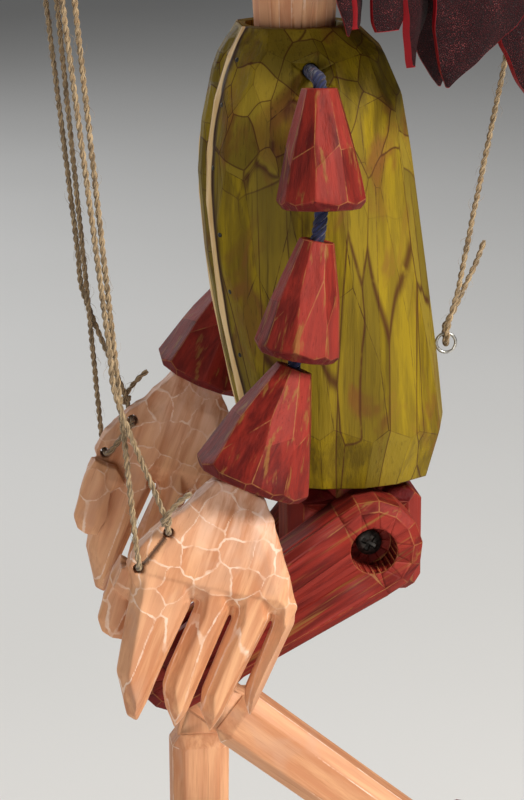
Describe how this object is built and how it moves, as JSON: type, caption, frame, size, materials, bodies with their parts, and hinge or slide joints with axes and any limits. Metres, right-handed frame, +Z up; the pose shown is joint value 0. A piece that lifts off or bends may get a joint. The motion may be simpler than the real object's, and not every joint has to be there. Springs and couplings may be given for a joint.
{
  "type": "clown marionette",
  "caption": "Hand-carved clown string puppet hanging from a wooden control: hollow faceted torso, nodding head with leather locks, cone sleeves on cords, carved hands, jointed legs.",
  "frame": {"origin": "middle of the flat top of the control's main bar, where a hand or a hook holds the puppet", "axes": "+Z up; the figure faces -Y and its left side is +X"},
  "size_m": [0.136, 0.206, 0.5038],
  "materials": {
    "green_stain": "olive-green stain, chiselled, brown lines on the cuts' edges",
    "red_stain": "red stain, chiselled, worn to tan on the edges",
    "bare_wood": "bare carved limewood, waxed",
    "bar_wood": "planed, oiled",
    "leather": "dark burgundy, pebbled, red cut edges",
    "jute": "plied jute twine, hairy",
    "blue_cord": "dark blue cord, wound",
    "zinc": "zinc plated",
    "dark_screw": "blackened",
    "red_paint": "red paint, satin",
    "black_bead": "gloss"
  },
  "bodies": {
    "control": {"control_main_bar": "bar_wood", "control_head_bar": "bar_wood", "control_hand_bar": "bar_wood", "back_string": "jute"},
    "torso": {"torso_shell": "green_stain", "torso_front_panel": "green_stain", "waist_pin": "bare_wood", "neck_pin": "bare_wood", "back_screw_eye": "zinc", "left_shoulder_cord": "blue_cord", "right_shoulder_cord": "blue_cord", "left_head_string": "jute", "right_head_string": "jute"},
    "head": {"head": "bare_wood", "neck": "bare_wood", "nose": "red_paint", "left_eye": "black_bead", "right_eye": "black_bead", "left_head_screw_eye": "zinc", "right_head_screw_eye": "zinc", "hair_lock_1": "leather", "hair_lock_2": "leather", "hair_lock_3": "leather", "hair_lock_4": "leather", "hair_lock_5": "leather", "hair_lock_6": "leather", "hair_lock_7": "leather", "hair_lock_8": "leather", "hair_lock_9": "leather"},
    "pelvis": {"pelvis": "red_stain", "left_hip_screw": "dark_screw", "right_hip_screw": "dark_screw"},
    "left_upper_sleeve": {"left_upper_sleeve": "red_stain", "left_upper_sleeve_cord": "blue_cord"},
    "left_middle_sleeve": {"left_middle_sleeve": "red_stain", "left_middle_sleeve_cord": "blue_cord"},
    "left_cuff": {"left_cuff": "red_stain", "left_cuff_cord": "blue_cord"},
    "left_hand": {"left_hand": "bare_wood"},
    "left_hand_string": {"left_hand_string": "jute"},
    "left_thigh": {"left_thigh": "red_stain", "left_knee_pin": "bare_wood"},
    "left_shin": {"left_shin": "bare_wood"},
    "left_shoe": {"left_shoe": "red_stain", "left_ankle_pin": "bare_wood"},
    "right_upper_sleeve": {"right_upper_sleeve": "red_stain", "right_upper_sleeve_cord": "blue_cord"},
    "right_middle_sleeve": {"right_middle_sleeve": "red_stain", "right_middle_sleeve_cord": "blue_cord"},
    "right_cuff": {"right_cuff": "red_stain", "right_cuff_cord": "blue_cord"},
    "right_hand": {"right_hand": "bare_wood"},
    "right_hand_string": {"right_hand_string": "jute"},
    "right_thigh": {"right_thigh": "red_stain", "right_knee_pin": "bare_wood"},
    "right_shin": {"right_shin": "bare_wood"},
    "right_shoe": {"right_shoe": "red_stain", "right_ankle_pin": "bare_wood"}
  },
  "joints": [
    {"name": "figure_swing", "type": "hinge", "parent": "control", "child": "torso", "pos_m": [0, 0, -0.0173], "axis": [1, 0, 0], "range_deg": [-5, 5], "deforming": ["back_string"]},
    {"name": "head_nod", "type": "hinge", "parent": "torso", "child": "head", "pos_m": [0, 0, -0.229], "axis": [1, 0, 0], "range_deg": [-8, 10], "deforming": ["left_head_string", "right_head_string"]},
    {"name": "waist_rock", "type": "hinge", "parent": "torso", "child": "pelvis", "pos_m": [0, 0.0152, -0.326], "axis": [1, 0, 0], "range_deg": [-5, 5]},
    {"name": "left_arm_lift", "type": "hinge", "parent": "torso", "child": "left_upper_sleeve", "pos_m": [0.036, 0.0012, -0.2298], "axis": [-1, 0, 0], "range_deg": [0, 40]},
    {"name": "left_elbow_bend", "type": "hinge", "parent": "left_upper_sleeve", "child": "left_middle_sleeve", "pos_m": [0.0395, 0.0012, -0.26312], "axis": [-1, 0, 0], "range_deg": [0, 22.5]},
    {"name": "left_cuff_bend", "type": "hinge", "parent": "left_middle_sleeve", "child": "left_cuff", "pos_m": [0.04098, -0.00552, -0.29937], "axis": [-1, 0, 0], "range_deg": [0, 18.5]},
    {"name": "left_wrist_bend", "type": "hinge", "parent": "left_cuff", "child": "left_hand", "pos_m": [0.04311, -0.01792, -0.33085], "axis": [-1, 0, 0], "range_deg": [-30.5, 0]},
    {"name": "left_hand_string_swing", "type": "hinge", "parent": "torso", "child": "left_hand_string", "pos_m": [0.022, -0.079, -0.0223], "axis": [-1, 0, 0], "range_deg": [0, 15.84], "deforming": ["left_hand_string"]},
    {"name": "left_hip", "type": "hinge", "parent": "pelvis", "child": "left_thigh", "pos_m": [0.02025, 0.0168, -0.3515], "axis": [-1, 0, 0], "range_deg": [-75, 20]},
    {"name": "left_knee", "type": "hinge", "parent": "left_thigh", "child": "left_shin", "pos_m": [0.02025, -0.03408, -0.3833], "axis": [1, 0, 0], "range_deg": [-110, 4]},
    {"name": "left_ankle", "type": "hinge", "parent": "left_shin", "child": "left_shoe", "pos_m": [0.02025, 0.03526, -0.43747], "axis": [1, 0, 0], "range_deg": [-15, 15]},
    {"name": "right_arm_lift", "type": "hinge", "parent": "torso", "child": "right_upper_sleeve", "pos_m": [-0.036, 0.0012, -0.2298], "axis": [-1, 0, 0], "range_deg": [0, 40]},
    {"name": "right_elbow_bend", "type": "hinge", "parent": "right_upper_sleeve", "child": "right_middle_sleeve", "pos_m": [-0.0395, 0.0133, -0.26084], "axis": [-1, 0, 0], "range_deg": [-4.5, 0]},
    {"name": "right_cuff_bend", "type": "hinge", "parent": "right_middle_sleeve", "child": "right_cuff", "pos_m": [-0.04098, -0.00656, -0.2919], "axis": [-1, 0, 0], "range_deg": [0, 18.5]},
    {"name": "right_wrist_bend", "type": "hinge", "parent": "right_cuff", "child": "right_hand", "pos_m": [-0.04311, -0.01896, -0.32338], "axis": [-1, 0, 0], "range_deg": [-28.5, 0]},
    {"name": "right_hand_string_swing", "type": "hinge", "parent": "torso", "child": "right_hand_string", "pos_m": [-0.022, -0.079, -0.0223], "axis": [-1, 0, 0], "range_deg": [0, 12.45], "deforming": ["right_hand_string"]},
    {"name": "right_hip", "type": "hinge", "parent": "pelvis", "child": "right_thigh", "pos_m": [-0.02025, 0.0168, -0.3515], "axis": [-1, 0, 0], "range_deg": [-58, 36]},
    {"name": "right_knee", "type": "hinge", "parent": "right_thigh", "child": "right_shin", "pos_m": [-0.02025, -0.02296, -0.39644], "axis": [1, 0, 0], "range_deg": [-41, 72]},
    {"name": "right_ankle", "type": "hinge", "parent": "right_shin", "child": "right_shoe", "pos_m": [-0.02025, -0.02296, -0.48444], "axis": [1, 0, 0], "range_deg": [-15, 15]}
  ],
  "couplings": [
    {"joint": "left_elbow_bend", "follows": "left_arm_lift", "ratio": 0.55},
    {"joint": "left_cuff_bend", "follows": "left_arm_lift", "ratio": 0.45},
    {"joint": "left_wrist_bend", "follows": "left_arm_lift", "ratio": -0.75},
    {"joint": "left_hand_string_swing", "follows": "left_arm_lift", "ratio": 0.3835},
    {"joint": "right_elbow_bend", "follows": "right_arm_lift", "ratio": -0.1},
    {"joint": "right_cuff_bend", "follows": "right_arm_lift", "ratio": 0.45},
    {"joint": "right_wrist_bend", "follows": "right_arm_lift", "ratio": -0.7},
    {"joint": "right_hand_string_swing", "follows": "right_arm_lift", "ratio": 0.2987}
  ]
}
